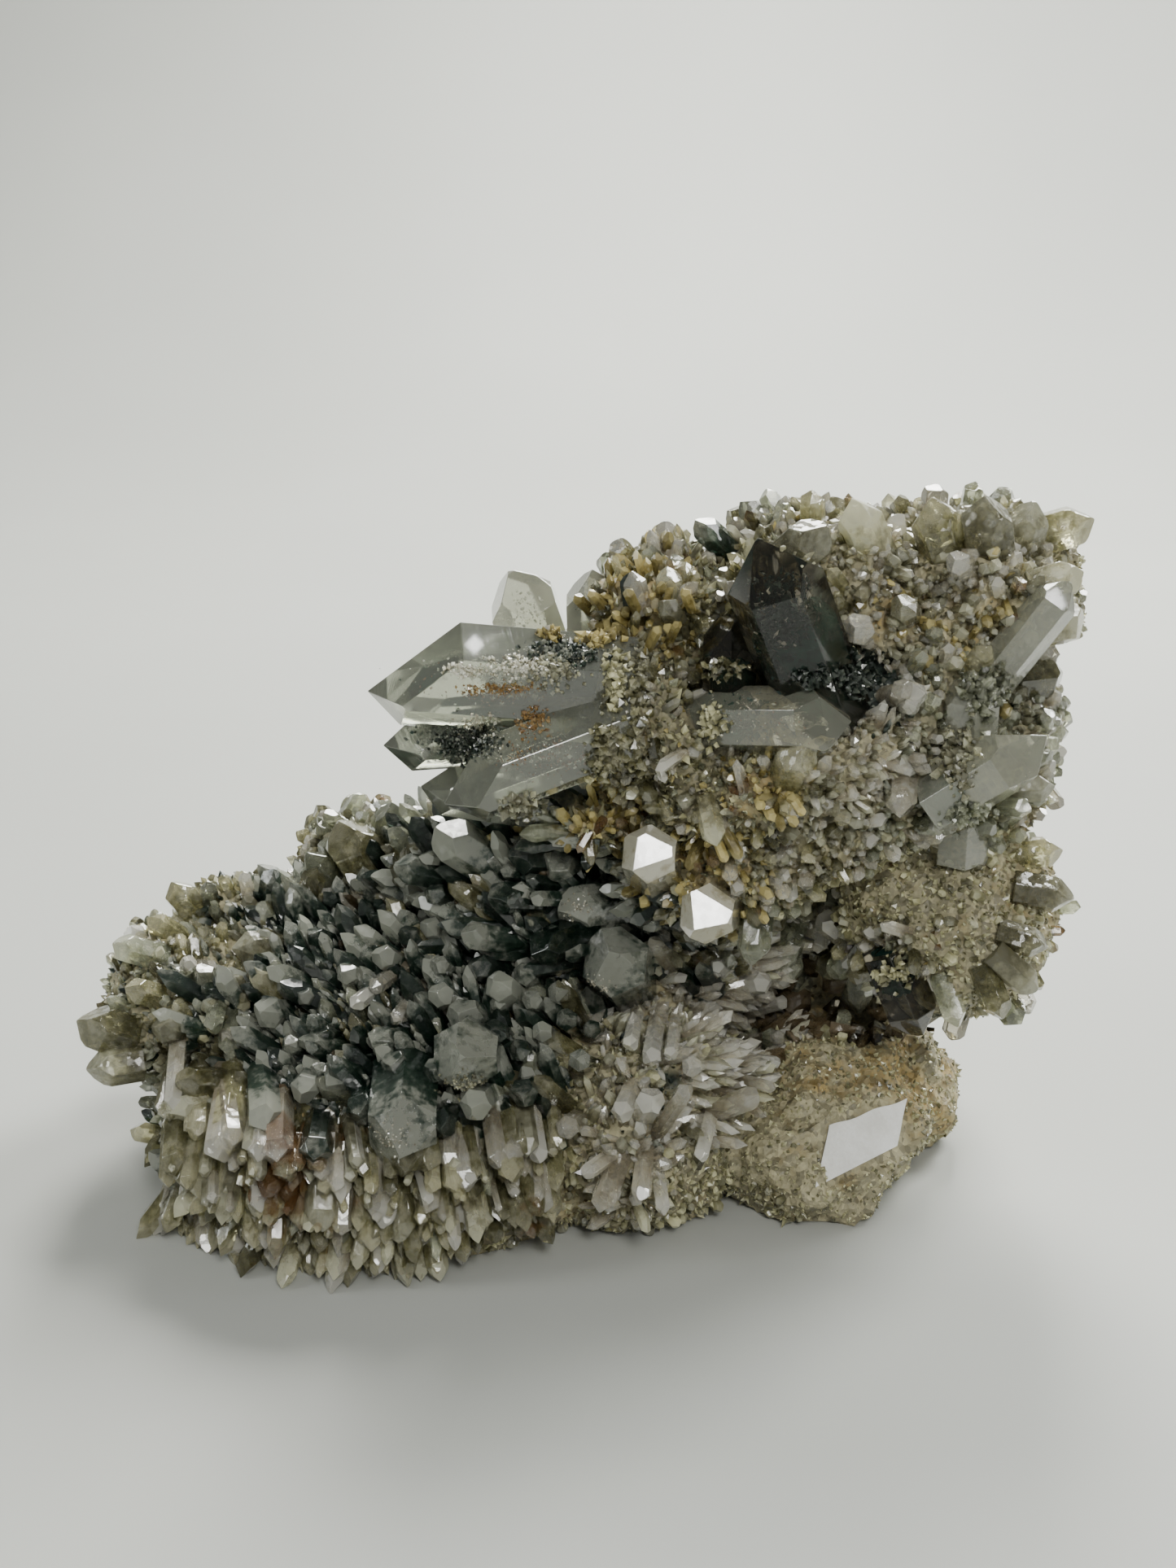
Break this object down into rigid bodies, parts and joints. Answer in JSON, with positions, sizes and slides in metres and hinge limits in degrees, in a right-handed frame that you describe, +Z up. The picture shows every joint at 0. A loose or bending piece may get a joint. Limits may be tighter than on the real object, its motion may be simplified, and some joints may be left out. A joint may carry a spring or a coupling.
{
  "type": "chlorite quartz crystal cluster",
  "caption": "Natural cluster of clear quartz points clouded by green chlorite: a low crystal-covered plate with a tall overhanging block, resting on a flat cut base.",
  "frame": {"origin": "middle of the cluster's bounding box, on the flat cut that it rests on", "axes": "+Z up, +X along the cluster's length from the low plate to the tall block, +Y from its front to its back"},
  "size_m": [0.1239, 0.0699, 0.0874],
  "materials": {
    "rock_and_small_crystals": "rough chlorite-stained rock with a crust of small quartz crystals",
    "clear_quartz": "glassy clear to smoky crystal with green chlorite inside",
    "label_paper": "matt white blank paper"
  },
  "bodies": {
    "root": {"crystal_covered_rock": "rock_and_small_crystals", "left_point_cluster": "clear_quartz", "back_points": "clear_quartz", "block_points": "clear_quartz", "right_points": "clear_quartz", "bright_point": "clear_quartz", "amber_point": "clear_quartz", "frosted_point": "clear_quartz", "green_point": "clear_quartz", "dark_points": "clear_quartz", "hanging_point": "clear_quartz", "paper_label": "label_paper"}
  },
  "joints": []
}
